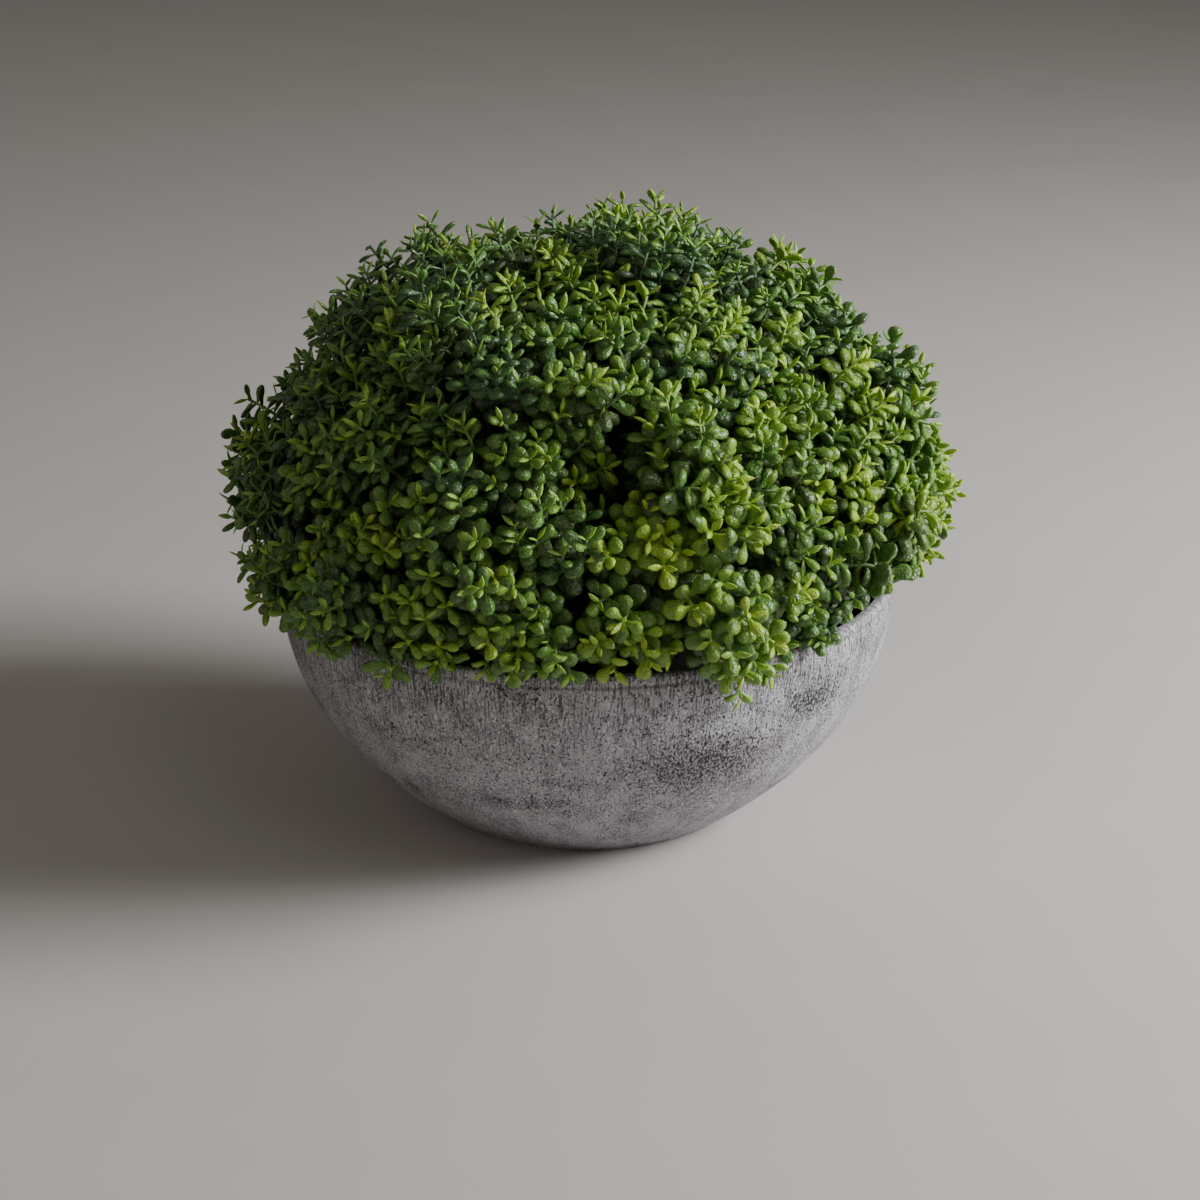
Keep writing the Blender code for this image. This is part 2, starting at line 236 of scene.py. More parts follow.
# %% [markdown]
# ## Bowl
#
# A thin-walled bowl, cast and then painted with a grey lime wash that is rubbed back, so the dark
# ground shows in upright hairlines under the rim and in pits lower down. Its shape is one profile
# turned round the upright axis. A lathe in Blender is the Screw modifier, but here each ring is
# computed, because the lip, its groove and the slight unevenness of the wall go round with the angle.

# %% Profile of the bowl
BOWL_RADIUS, BOWL_HEIGHT, WALL = 110 * MM, 87 * MM, 4.5 * MM
FOOT_RADIUS, FOOT_HEIGHT = 56.4 * MM, 1.5 * MM
BELLY_START, BELLY_POWER, INNER_START = 55.7 * MM, 2.3, 0.06
RIM_CORNER = 1.5 * MM
GROOVE_HEIGHT, GROOVE_DEPTH, GROOVE_WIDTH = 83.2 * MM, 0.5 * MM, 0.7 * MM


def belly(share, inset=0.0):
    """Radius and height of the wall at shares of its height, moved inwards along its normal.

    The outside is start + (rim - start) * (1 - (1 - share) ** power).
    """
    share = np.asarray(share, float)
    spread = BOWL_RADIUS - BELLY_START
    radius = BELLY_START + spread * (1 - (1 - share) ** BELLY_POWER)
    slope = spread * BELLY_POWER * (1 - share) ** (BELLY_POWER - 1) / BOWL_HEIGHT
    length = np.hypot(1, slope)
    return np.stack([radius - inset / length, share * BOWL_HEIGHT + inset * slope / length], -1)


def corner(centre, radius, first, last, count):
    """Points on a quarter circle in the (radius, height) plane, from one angle to another."""
    angle = np.linspace(first, last, count)
    return centre + radius * np.stack([np.cos(angle), np.sin(angle)], -1)


MIDDLE_HOLE = 26 * MM  # the radius where the profile starts and ends; a pole closes the rest
top_share = 1 - RIM_CORNER / BOWL_HEIGHT
rim_top = BOWL_HEIGHT - RIM_CORNER
inner_rim = belly(top_share, WALL)[0] + RIM_CORNER
outer_rim = belly(top_share)[0] - RIM_CORNER
bowl_profile = np.concatenate([
    [[MIDDLE_HOLE, belly(INNER_START, WALL)[1]]],
    belly(np.linspace(INNER_START, top_share, 26)[:-1], WALL),
    corner([inner_rim, rim_top], RIM_CORNER, math.pi, math.pi / 2, 6),
    corner([outer_rim, rim_top], RIM_CORNER, math.pi / 2, 0, 6),
    belly(np.concatenate([np.linspace(top_share, 0.93, 22)[1:], np.linspace(0.93, 0.0172, 44)[1:]])),
    [[FOOT_RADIUS, FOOT_HEIGHT * 0.93], [FOOT_RADIUS, 0.2 * MM], [FOOT_RADIUS - 0.2 * MM, 0]],
    [[MIDDLE_HOLE, 0]],
])
print("bowl profile points:", len(bowl_profile))

# %% [markdown]
# Nothing cast and painted by hand is quite even. A smooth random relief is the mean of many cosine
# waves with crests a given distance apart, in random directions. It is used for the bowl's wall, the
# filling and the moulded bark, and it takes any array of points. The groove under the lip is a
# smooth hump pressed inwards.

# %% Relief, and forms turned round the axis
def relief(points, size, seed, waves=18):
    """Smooth random heights, about -1 to 1: the scaled mean of cosines with crests `size` apart."""
    rng = np.random.default_rng(seed)
    ways = rng.normal(size=(waves, 3))
    ways *= (TURN / size * rng.uniform(0.6, 1.4, waves) / np.linalg.norm(ways, axis=1))[:, None]
    phases = rng.uniform(0, TURN, waves)
    return np.cos(points @ ways.T + phases).mean(-1) * math.sqrt(waves) / 1.5


def turned_form(profile, around):
    """Rings of points: a profile of (radius, height) carried round the upright axis."""
    angle = np.arange(around) / around * TURN
    return np.stack([
        profile[:, :1] * np.cos(angle),
        profile[:, :1] * np.sin(angle),
        np.broadcast_to(profile[:, 1:], (len(profile), around)),
    ], -1)


def with_poles(rings):
    """Adds a pole before the first ring and after the last, each at its ring's middle."""
    points = rings.reshape(*rings.shape[:-3], -1, 3)
    first, last = rings[..., 0, :, :].mean(-2), rings[..., -1, :, :].mean(-2)
    return np.concatenate([first[..., None, :], points, last[..., None, :]], -2)


def turned_mesh(name, rings):
    """The mesh of a turned form. Its rings run the other way round from a tube's, so it is flipped."""
    mesh = ringed_mesh(name, with_poles(rings)[None], *rings.shape[:2])
    mesh.flip_normals()
    return mesh


def hump(values, middle, width, power=2):
    """1 at the middle, falling smoothly to 0: exp(-x ** power), x being the distance over the width."""
    return np.exp(-(((values - middle) / width) ** power))


# %% Mesh of the bowl
BOWL_AROUND, OUTER_START = 160, 37  # points round the bowl, and the profile's first one outside
UNEVEN, UNEVEN_SIZE, UNEVEN_FROM, UNEVEN_TO = 0.12 * MM, 22 * MM, 4 * MM, 86 * MM
rings = turned_form(bowl_profile, BOWL_AROUND)
heights = rings[..., 2]
outward = rings * [1, 1, 0]
outward /= np.linalg.norm(outward, axis=-1, keepdims=True)
outer = np.arange(len(bowl_profile)) >= OUTER_START
groove = hump(heights, GROOVE_HEIGHT, GROOVE_WIDTH) * outer[:, None]
groove *= GROOVE_DEPTH * (0.75 + 0.35 * relief(rings, 40 * MM, 3))
wall = (heights > UNEVEN_FROM) & (heights < UNEVEN_TO)
rings = rings + outward * (UNEVEN * wall * relief(rings, UNEVEN_SIZE, 4) - groove)[..., None]
bowl_mesh = turned_mesh("bowl_wall", rings)
print("points of the bowl:", len(bowl_mesh.vertices))

# %% [markdown]
# The wash runs down the wall, so its pattern needs coordinates that follow the wall: two numbers go
# round with the angle and the third is the distance along the profile. They are stored on the mesh
# as an attribute, so the streaks stay upright at the rim and run inwards to the foot underneath.

# %% Coordinates that follow the wall
WASH_RADIUS = 85 * MM
steps = np.linalg.norm(np.diff(bowl_profile, axis=0), axis=1)
along = np.concatenate([[0], np.cumsum(steps)])
along = along[-1] - along
angle = np.arange(BOWL_AROUND) / BOWL_AROUND * TURN
wash = np.stack(np.broadcast_arrays(
    WASH_RADIUS * np.cos(angle), WASH_RADIUS * np.sin(angle), along[:, None]), -1)
layer = bowl_mesh.attributes.new("wash", "FLOAT_VECTOR", "POINT")
layer.data.foreach_set("vector", with_poles(wash).astype(np.float32).ravel())
groove_along = float(np.interp(GROOVE_HEIGHT, bowl_profile[outer, 1][::-1], along[outer][::-1]))
print("along the wall from the underside to the groove, mm:", round(groove_along / MM, 1))

# %% [markdown]
# The wash itself is layers of noise, each with the size of a real mark. Cloudy patches are where the
# wash was laid thicker. Upright hairlines under the rim are brush marks, 0.6 mm across and 6 mm long.
# Specks are 0.6 mm across and crowd together where the wash is worn through. Both are drawn a little
# coarser than the real dust, which would be lost between the pixels. They are also low in the bump,
# and the wash is rougher than the ground it leaves bare. The groove under the lip is darkened with
# painted shade in its recess.

# %% Marks of the lime wash
lime_wash, tree, shader = new_material("lime_wash")
follow = add_node(tree, "Attribute", output="Vector", attribute_name="wash")
place = add_node(tree, "TexCoord", output="Object")


def wash_marks(across_mm, long_mm, detail, shift):
    """Noise whose features are long_mm along the wall and across_mm across it."""
    squeeze = add_node(tree, "Mapping", {"Vector": follow, "Scale": (1, 1, across_mm / long_mm),
                                         "Location": (shift, shift, 0)})
    return add_node(tree, "TexNoise", {"Vector": squeeze, "Scale": per_metre(across_mm), "Detail": detail,
                                       "Roughness": 0.6})


def worn_patch(centre, half_size):
    """1 at a worn place on the wall and 0 from half_size away, by distances in each direction."""
    squeeze = add_node(tree, "Mapping", {"Vector": place, "Location": centre, "Scale": half_size},
                       vector_type="TEXTURE")
    far = add_node(tree, "VectorMath", {0: squeeze}, "Value", operation="LENGTH")
    return add_node(tree, "MapRange", {"Value": far, "From Min": 1.0, "From Max": 0.2})


clouds = wash_marks(30, 20, 4, 0.0)
patches = wash_marks(8, 12, 5, 0.3)
hairlines = wash_marks(0.62, 6.0, 2, 0.7)
specks = wash_marks(0.58, 1.1, 2, 1.1)
salt = wash_marks(0.6, 0.9, 2, 3.1)
stains = wash_marks(7, 8, 2, 2.3)
print("nodes for the marks:", len(tree.nodes))

# %% Where the wash is worn through
WORN_LOW = (0.040, -0.093, 0.050), (0.036, 0.036, 0.017)  # metres: the place and its half size
WORN_HIGH = (0.077, -0.075, 0.066), (0.020, 0.020, 0.011)
STREAKS_FROM, STREAKS_FULL = 90 * MM, 130 * MM  # along the wall from the underside's middle
thin = add_node(tree, "MapRange", {"Value": clouds, "From Min": 0.52, "From Max": 0.72, "To Max": 0.7})
worn = {0: worn_patch(*WORN_LOW), 1: worn_patch(*WORN_HIGH)}
worn = add_node(tree, "Math", worn, operation="MAXIMUM")
worn = add_node(tree, "Math", {0: worn, 1: thin}, operation="MAXIMUM")
height = add_node(tree, "SeparateXYZ", {"Vector": follow}, "Z")
near_rim = add_node(tree, "MapRange", {"Value": height, "From Min": STREAKS_FROM,
                                       "From Max": STREAKS_FULL, "To Max": 0.72})
streaks = add_node(tree, "MapRange", {"Value": hairlines, "From Min": 0.545, "From Max": 0.60})
streaks = add_node(tree, "Math", {0: streaks, 1: near_rim}, operation="MULTIPLY")
dots = add_node(tree, "Math", {0: worn, 1: 0.13, 2: specks}, operation="MULTIPLY_ADD")
dots = add_node(tree, "MapRange", {"Value": dots, "From Min": 0.59, "From Max": 0.63})
bare = add_node(tree, "Math", {0: streaks, 1: dots}, operation="MAXIMUM")
# A dark line along the groove under the lip: painted shade in its recess.
line = add_node(tree, "Math", {0: height, 1: groove_along, 2: 0.6 * MM}, operation="COMPARE")
line = add_node(tree, "Math", {0: line, 1: 0.28}, operation="MULTIPLY")

# %% Lime wash over a dark ground
# Rubbed lime wash: chalky and dull, cloudy in two greys, with pale salt, and darker and a little
# smoother where the ground is bare.
tone = add_node(tree, "MapRange", {"Value": patches, "From Min": 0.36, "From Max": 0.62})
tone = add_node(tree, "Mix", {"Factor": tone, "A": linear("#89878b"), "B": linear("#b3b1b6")}, **COLOURS)
grains = add_node(tree, "MapRange", {"Value": salt, "From Min": 0.50, "From Max": 0.62, "To Max": 0.7})
tone = add_node(tree, "Mix", {"Factor": grains, "A": tone, "B": linear("#e2e1e6")}, **COLOURS)
# Real wear, and the painted shade of the groove, darken the wash.
worn_and_groove_shade = add_node(tree, "Math", {0: worn, 1: 0.30, 2: line}, operation="MULTIPLY_ADD", use_clamp=True)
tone = add_node(tree, "Mix", {"Factor": worn_and_groove_shade, "A": tone, "B": linear("#4a4847")}, **COLOURS)
tone = add_node(tree, "Mix", {"Factor": bare, "A": tone, "B": linear("#252424")}, **COLOURS)
rust = add_node(tree, "MapRange", {"Value": stains, "From Min": 0.72, "From Max": 0.80, "To Max": 0.7})
tone = add_node(tree, "Mix", {"Factor": rust, "A": tone, "B": linear("#6f5138")}, **COLOURS)
depth = add_node(tree, "Math", {0: bare, 1: -1.0, 2: grains}, operation="MULTIPLY_ADD")
pitted = add_node(tree, "Bump", {"Height": depth, "Strength": 0.8, "Distance": 0.4 * MM})
rough = add_node(tree, "MapRange", {"Value": bare, "To Min": 0.82, "To Max": 0.6})
set_inputs(tree, shader, {"Base Color": tone, "Roughness": rough, "Normal": pitted, "IOR": 1.5})
add_piece("bowl_wall", bowl_mesh, lime_wash, ["bowl"])

# %% [markdown]
# ## Filling
#
# The stems are pushed into a plug of dark foam that ends under the rim. It shows only between the
# lowest leaves. It is turned like the bowl, with a crumbly top. Its side keeps just inside the wall.

# %% Shape of the filling
FILL_RISE, FILL_LEVEL, FILL_GAP, FILL_INSET = 2.5 * MM, 60 * MM, 0.3 * MM, 0.2 * MM
FILL_HOLE, FILL_AROUND, TOP_RINGS, SIDE_RINGS = 3 * MM, 144, 34, 16
CRUMBS, CRUMB_DEPTH, TOP_DROP = (5 * MM, 2.6 * MM), 0.5 * MM, 0.6 * MM
inner_shares = np.linspace(INNER_START, 1 - 1 * MM / BOWL_HEIGHT, 6)
fill_edge = belly(inner_shares[-2], WALL + FILL_GAP)
fill_top = fill_edge[1] + FILL_RISE
fill_floor = belly(INNER_START, WALL)[1] + FILL_GAP
side = belly(np.linspace(inner_shares[-2], INNER_START, SIDE_RINGS), WALL + FILL_GAP + FILL_INSET)
side[-1, 1] = fill_floor
radii = np.linspace(FILL_HOLE, side[0, 0], TOP_RINGS)
crown_height = fill_top - FILL_RISE * np.clip((radii - FILL_LEVEL) / (side[0, 0] - FILL_LEVEL), 0, 1)
fill_profile = np.concatenate([np.stack([radii, crown_height], 1), side[1:], [[FILL_HOLE, fill_floor]]])
rings = turned_form(fill_profile, FILL_AROUND)
crumbs = relief(rings, CRUMBS[0], 8) + 0.6 * relief(rings, CRUMBS[1], 9)
on_top = (np.arange(len(fill_profile)) < TOP_RINGS - 1)[:, None]
rings = rings + (on_top * (CRUMB_DEPTH * crumbs - TOP_DROP))[..., None] * [0, 0, 1]
fill_mesh = turned_mesh("filling_top", rings)
print("top of the filling, mm:", round(fill_top / MM, 1))

# %% Crumbled foam
# Stained florist's foam: no shine at all. Between open cells it is nearly black, darker where the relief is
# low: painted shade in the pores.
foam, tree, shader = new_material("crumbled_foam")
place = add_node(tree, "TexCoord", output="Object")
cells = add_node(tree, "TexNoise", {"Vector": place, "Scale": per_metre(1.8), "Detail": 5.0})
tone = add_node(tree, "Mix", {"Factor": cells, "A": linear("#14110d"), "B": linear("#33291d")}, **COLOURS)
crumbly = add_node(tree, "Bump", {"Height": cells, "Strength": 0.8, "Distance": 0.6 * MM})
set_inputs(tree, shader, {"Base Color": tone, "Roughness": 0.95, "Normal": crumbly})
add_piece("filling_crumbs", fill_mesh, foam, ["filling"])

# %% [markdown]
# ## The rule of growth
#
# The crown repeats the rule that the solids follow. Its outline is a distance for each direction
# from one centre. Sprigs point in directions spread evenly over that dome by the golden angle, and
# each belongs to the bough that it is nearest to. Here each sprig is carried on: it forks into
# shoots, and the shoots' tips are a finer golden-angle lattice within the same outline.

# %% Outline and boughs
CENTRE = np.array([0, 0, BOWL_HEIGHT + 1 * MM])
TOP_REACH, BELT_REACH = 126 * MM, 140 * MM
TUCK_START, TUCK_RATE = math.radians(15), 180 * MM
HOLLOW_AZIMUTH, HOLLOW_ELEVATION, HOLLOW_WIDTH = np.radians([-86, 33, 7])
RING = {"front_right": 1.00, "right": 1.02, "back_right": 1.00, "back": 1.00, "back_left": 0.99,
        "left": 0.97, "front_left": 1.00}
UPPER = {"upper_front": 1.00, "upper_right": 1.00, "upper_left": 0.99}
RING_ELEVATION, UPPER_ELEVATION = math.radians(14), math.radians(61)
GOLDEN_ANGLE = math.pi * (3 - math.sqrt(5))


def direction(azimuth, elevation):
    """Unit vectors at azimuths from +X and elevations from level."""
    level = np.cos(elevation)
    return np.stack([level * np.cos(azimuth), level * np.sin(azimuth), np.sin(elevation)], -1)


def unit(vectors):
    """Vectors divided by their lengths."""
    return vectors / np.linalg.norm(vectors, axis=-1, keepdims=True)


def square_to(ways):
    """Unit vectors square to the ways: their cross product with Z, or with X where they stand up."""
    helper = np.where(np.abs(ways[:, 2:]) < 0.8, [[0.0, 0.0, 1.0]], [[1.0, 0.0, 0.0]])
    return unit(np.cross(ways, helper))


def reach(ways):
    """Distance from the centre to the leaf tips: widest round the belt, drawn in below it.

    It is the top's reach, plus the belt's surplus times the cosine of the elevation, less the tuck's
    rate times the square of the angle below the tuck's start.
    """
    elevation = np.arcsin(np.clip(ways[..., 2], -1, 1))
    distance = TOP_REACH + (BELT_REACH - TOP_REACH) * np.cos(elevation)
    return distance - TUCK_RATE * np.maximum(0, TUCK_START - elevation) ** 2


bough_names = list(RING) + list(UPPER)
fullness = np.array(list(RING.values()) + list(UPPER.values()))
axes = np.concatenate([
    direction(HOLLOW_AZIMUTH + (np.arange(7) + 0.5) * TURN / 7, np.full(7, RING_ELEVATION)),
    direction(HOLLOW_AZIMUTH + np.arange(3) * TURN / 3, np.full(3, UPPER_ELEVATION)),
])
print("boughs:", len(bough_names), "reach at the belt, mm:", round(reach(axes)[0] / MM, 1))

# %% Sprigs, as in the solids
SPRIGS, LOWEST_SINE, SPRIG_JITTER, BORDER_SINE = 115, 0.03, 0.035, 0.04
SOURCE_SEED = 27


def golden_ways(count, lowest_sine):
    """Directions spread evenly: equal steps of the sine of elevation, turned by the golden angle."""
    i = np.arange(count)
    sine = 1 - (1 - lowest_sine) * (i + 0.5) / count
    return direction(i * GOLDEN_ANGLE, np.arcsin(sine))


draw = random.Random(SOURCE_SEED)
jitter = np.array([draw.uniform(-SPRIG_JITTER, SPRIG_JITTER) for _ in range(3 * SPRIGS)])
sprig_ways = golden_ways(SPRIGS, LOWEST_SINE) + jitter.reshape(-1, 3)
sprig_ways[:, 2] = np.maximum(sprig_ways[:, 2], LOWEST_SINE)
sprig_ways = unit(sprig_ways)
hollow = direction(HOLLOW_AZIMUTH, HOLLOW_ELEVATION)
sprig_ways = sprig_ways[sprig_ways @ hollow < math.cos(HOLLOW_WIDTH)]
sprig_bough = (sprig_ways @ axes.T).argmax(1)
for other in range(len(axes)):
    plane = axes[sprig_bough] - axes[other]
    plane /= np.maximum(np.linalg.norm(plane, axis=1, keepdims=True), 1e-9)
    short = np.maximum(0, BORDER_SINE - (sprig_ways * plane).sum(1)) * (sprig_bough != other)
    sprig_ways = sprig_ways + plane * short[:, None]
sprig_ways = unit(sprig_ways)
print("sprigs:", len(sprig_ways))

# %% [markdown]
# Each sprig has a habit of its own, because the ball is put together from a few kinds of moulded
# picks. Some have narrow leaves and some have round ones, and each has its tint, from lime to a
# deep blue-green. Narrow, dark picks are mostly on the left and on top, round and lime ones in front
# on the right, so both are dealt out by direction with some chance in it. The lightness of the tint is
# partly real and partly painted light: it rises towards the front right, where the key light falls,
# and the deeper tints on top are painted shade.

# %% Habit and tint of each sprig
rng = np.random.default_rng(41)
TINTS = ["lime", "fresh", "mid", "deep", "blue"]
ROUND_WAY = unit(np.array([0.62, -0.42, -0.66]))
LIME_WAY = unit(np.array([0.80, -0.50, 0.10]))
ROUND_MEAN, ROUND_SLOPE, ROUND_CHANCE = 0.46, 0.50, 0.16  # roundness: 0 is narrow, 1 is round
LIGHT_MEAN, LIGHT_SLOPE, LIGHT_CHANCE, TOP_PAINTED_SHADE = 0.45, 0.17, 0.20, 0.12
TINT_ENDS = [-0.78, -0.56, -0.38, -0.20]  # minus the lightness where a tint gives way
sprig_round = ROUND_MEAN + ROUND_SLOPE * sprig_ways @ ROUND_WAY
sprig_round = np.clip(sprig_round + rng.normal(0, ROUND_CHANCE, len(sprig_ways)), 0, 1)
# Lighter tints towards the front right, where the key light falls: partly real tints, partly painted light.
sprig_light = LIGHT_MEAN + LIGHT_SLOPE * sprig_ways @ LIME_WAY
sprig_light += rng.normal(0, LIGHT_CHANCE, len(sprig_ways))
# Deeper tints on top: painted shade.
sprig_light -= TOP_PAINTED_SHADE * np.clip(sprig_ways[:, 2], 0, 1) ** 2
sprig_tint = np.digitize(-sprig_light, TINT_ENDS)
print("sprigs of each tint:", dict(zip(TINTS, np.bincount(sprig_tint, minlength=5).tolist())))

# %% [markdown]
# ## Stem, boughs and twigs
#
# Under the leaves the plant is wire covered with plastic bark: a short stem, one bough to each mass,
# and twigs that leave it towards each sprig. All are tubes: a circle carried along a path, pressed
# in and out by the relief of the moulded bark. One function makes any number of tubes at once.

# %% Tubes along paths
def tubes(paths, radii, around, bark=0.0, bark_size=2 * MM, seed=1):
    """Closed tubes as an array: at each point of a path, a circle square to the path.

    The circle's first direction is one fixed vector per path, made square to the path's direction;
    the second is their cross product. Bark moves each point by relief squeezed along the path.
    """
    forward = unit(np.gradient(paths, axis=1))
    fixed = square_to(unit(forward.mean(1)))[:, None]
    first = unit(fixed - (fixed * forward).sum(-1, keepdims=True) * forward)
    second = np.cross(forward, first)
    angle = np.arange(around) / around * TURN
    circle = np.cos(angle)[:, None] * first[..., None, :] + np.sin(angle)[:, None] * second[..., None, :]
    size = np.broadcast_to(radii, paths.shape[:2])[..., None, None]
    if bark:
        spread = paths[..., None, :] * 0.35 + circle * size
        size = size * (1 + bark * relief(spread, bark_size, seed)[..., None])
    return with_poles(paths[..., None, :] + circle * size)


# %% Stem
STEM_TIP, STEM_FOOT, STEM_FLARE, FLARE_HEIGHT = 8 * MM, 9 * MM, 12 * MM, 4 * MM
STEM_RISE, STEM_INSET, STEM_RINGS, STEM_AROUND = 12 * MM, 0.3 * MM, 40, 48
stem_foot, stem_top = fill_top + FILL_GAP, CENTRE[2] + STEM_RISE
heights = np.linspace(stem_foot, stem_top, STEM_RINGS)
flare = np.clip(1 - (heights - stem_foot) / (2.2 * FLARE_HEIGHT), 0, 1) ** 2
stem_radius = np.interp(heights, [stem_foot, stem_top], [STEM_FOOT, STEM_TIP])
stem_radius = stem_radius + (STEM_FLARE - STEM_FOOT) * flare - STEM_INSET
stem_path = np.stack([0 * heights, 0 * heights, heights], 1)[None]
stem_form = tubes(stem_path, stem_radius[None], STEM_AROUND, 0.035, 3.2 * MM, 5)
# Plastic moulded over wire: half matt, mottled from olive to a dusty brown, with small leaf scars.
bark, tree, shader = new_material("moulded_bark")
place = add_node(tree, "TexCoord", output="Object")
shade = add_node(tree, "TexNoise", {"Vector": place, "Scale": per_metre(3.5), "Detail": 4.0})
shade = add_node(tree, "MapRange", {"Value": shade, "From Min": 0.35, "From Max": 0.65})
tone = add_node(tree, "Mix", {"Factor": shade, "A": linear("#2c2a18"), "B": linear("#57513a")}, **COLOURS)
scars = add_node(tree, "TexVoronoi", {"Vector": place, "Scale": per_metre(1.6)})
scarred = add_node(tree, "Bump", {"Height": scars, "Strength": 0.6, "Distance": 0.3 * MM})
set_inputs(tree, shader, {"Base Color": tone, "Roughness": 0.6, "IOR": 1.46, "Normal": scarred})
stem_mesh = ringed_mesh("stem_bark", stem_form, STEM_RINGS, STEM_AROUND)
add_piece("stem_bark", stem_mesh, bark, ["stem"])

# %% Boughs
BOUGH_FOOT, BOUGH_TIP, BOUGH_END, BOUGH_INSET = 3 * MM, 2.2 * MM, 50 * MM, 0.1 * MM
RING_START, UPPER_START = 8.9 * MM, 15 * MM  # from the centre: on the stem's side, and on its top
BOUGH_RINGS, BOUGH_AROUND = 24, 16
LIMB_BARK, LIMB_BARK_SIZE = 0.05, 1.8 * MM
bough_start = np.where(axes[:, 2] > 0.5, UPPER_START, RING_START)
share = np.linspace(0, 1, BOUGH_RINGS)
distance = bough_start[:, None] + (BOUGH_END - bough_start)[:, None] * share
bough_paths = CENTRE + axes[:, None] * distance[..., None]
bough_radii = BOUGH_FOOT + (BOUGH_TIP - BOUGH_FOOT) * share - BOUGH_INSET
bough_forms = tubes(bough_paths, bough_radii[None], BOUGH_AROUND, LIMB_BARK, LIMB_BARK_SIZE, 6)
bough_mesh = ringed_mesh("boughs_bark", bough_forms, BOUGH_RINGS, BOUGH_AROUND)
add_piece("boughs_bark", bough_mesh, bark, ["bough_" + name for name in bough_names])

# %% [markdown]
# A limb carries on from each bough's tip, each sprig's twig leaves it part of the way out, and shoots
# leave the twig. Outer shoots make the crown's surface. Inner ones, dark and with larger leaves, close
# the view between them. Both are spread evenly, and lean towards their sprig, so that it is a bunch.

# %% Directions of the shoots
SHOOTS, SHOOT_LOWEST, INNER_SHOOTS, INNER_LOWEST = 1000, -0.10, 520, -0.08
SHOOT_JITTER, BUNCHING = 0.024, 0.13
shoot_ways = np.concatenate([golden_ways(SHOOTS, SHOOT_LOWEST), golden_ways(INNER_SHOOTS, INNER_LOWEST)])
inner = np.arange(len(shoot_ways)) >= SHOOTS
shoot_ways = unit(shoot_ways + rng.normal(0, SHOOT_JITTER, shoot_ways.shape))
shoot_sprig = (shoot_ways @ sprig_ways.T).argmax(1)
shoot_ways = unit(shoot_ways + BUNCHING * (sprig_ways[shoot_sprig] - shoot_ways))
print("most shoots on one sprig:", np.bincount(shoot_sprig).max())

# %% [markdown]
# The foliage ends in an uneven hem just over the rim. Some sprigs droop over the rim, the left side
# comes lower, on the right the rim is bare, and in front the low shoots sag.

# %% Where the foliage ends
HEM, HEM_ROUGH = 2.0, 1.3  # degrees above level, and the hem's unevenness
DROOPS, DROOP_WIDTH, DROOP_DEPTH = (-111, -64, 28, 96, 150), 6, 10  # degrees, here and below
BARE_RIM_AZIMUTH, BARE_RIM_WIDTH, BARE_RIM_LIFT = -22, 20, 6.0
LEFT_AZIMUTH, LEFT_WIDTH, LEFT_DROP = 185, 30, 4.0
SAG_AZIMUTH, SAG_WIDTH, SAG_DEPTH, SAG_TOP = -84, 13, 3.5, 18


def degrees_of(ways):
    """Azimuths and elevations of unit vectors, in degrees: arctan of y over x, and arcsin of z."""
    return np.degrees(np.arctan2(ways[:, 1], ways[:, 0])), np.degrees(np.arcsin(ways[:, 2]))


azimuth, elevation = degrees_of(shoot_ways)
hem = HEM + rng.normal(0, HEM_ROUGH, len(sprig_ways))[shoot_sprig]
hem += BARE_RIM_LIFT * hump(azimuth, BARE_RIM_AZIMUTH, BARE_RIM_WIDTH, 4)
hem -= LEFT_DROP * hump((azimuth + 360) % 360, LEFT_AZIMUTH, LEFT_WIDTH)
for droop in DROOPS:
    hem -= DROOP_DEPTH * hump(azimuth, droop, DROOP_WIDTH)
keep = inner | (elevation > hem)
shoot_ways, shoot_sprig, inner, hem = shoot_ways[keep], shoot_sprig[keep], inner[keep], hem[keep]
azimuth, elevation = degrees_of(shoot_ways)
sag = SAG_DEPTH * hump(azimuth, SAG_AZIMUTH, SAG_WIDTH) * (elevation < SAG_TOP) * ~inner
shoot_ways = direction(np.radians(azimuth), np.radians(elevation - sag))
elevation = degrees_of(shoot_ways)[1]
print("shoots kept:", len(shoot_ways), "of which inner:", int(inner.sum()))

# %% How far the shoots reach
INNER_REACH, INNER_LOW_REACH, LOW_MARGIN = (0.56, 0.86), 0.72, 4  # low ones stay inside the rim
HOLLOW_EDGE, HOLLOW_DEPTH = math.radians(10), 0.20
SWELLS = [(19, 42, 0.010, 22), (47, 62, 0.030, 22), (162, 40, 0.035, 22), (150, 64, 0.030, 22),
          (184, -4, 0.010, 16), (-4, 8, -0.005, 20)]  # azimuth, elevation, share, width in degrees
sprig_fullness = fullness[sprig_bough] * rng.uniform(0.93, 1.02, len(sprig_ways))
shoot_fullness = sprig_fullness[shoot_sprig] * rng.uniform(0.95, 1.03, len(shoot_ways))
shoot_fullness[inner] *= rng.uniform(*INNER_REACH, inner.sum())
low = inner & (elevation < hem + LOW_MARGIN)
shoot_fullness[low] = np.minimum(shoot_fullness[low], INNER_LOW_REACH)
from_hollow = np.arccos(np.clip(shoot_ways @ hollow, -1, 1))
shoot_fullness *= 1 - HOLLOW_DEPTH * np.clip(1 - (from_hollow / HOLLOW_EDGE) ** 2, 0, 1)
for *angles, swell, width in SWELLS:
    away = np.arccos(np.clip(shoot_ways @ direction(*np.radians(angles)), -1, 1))
    shoot_fullness *= 1 + swell * hump(away, 0, math.radians(width))
print("mean share of the reach, outer shoots:", round(shoot_fullness[~inner].mean(), 3))

# %% [markdown]
# A shoot is a quadratic curve that turns up towards its tip, as shoots turn to the light; only the
# lowest droop over the rim. Each sprig also leans its own way, so some bunches are seen end on, as
# stars of leaves, and others from the side, as feathers.

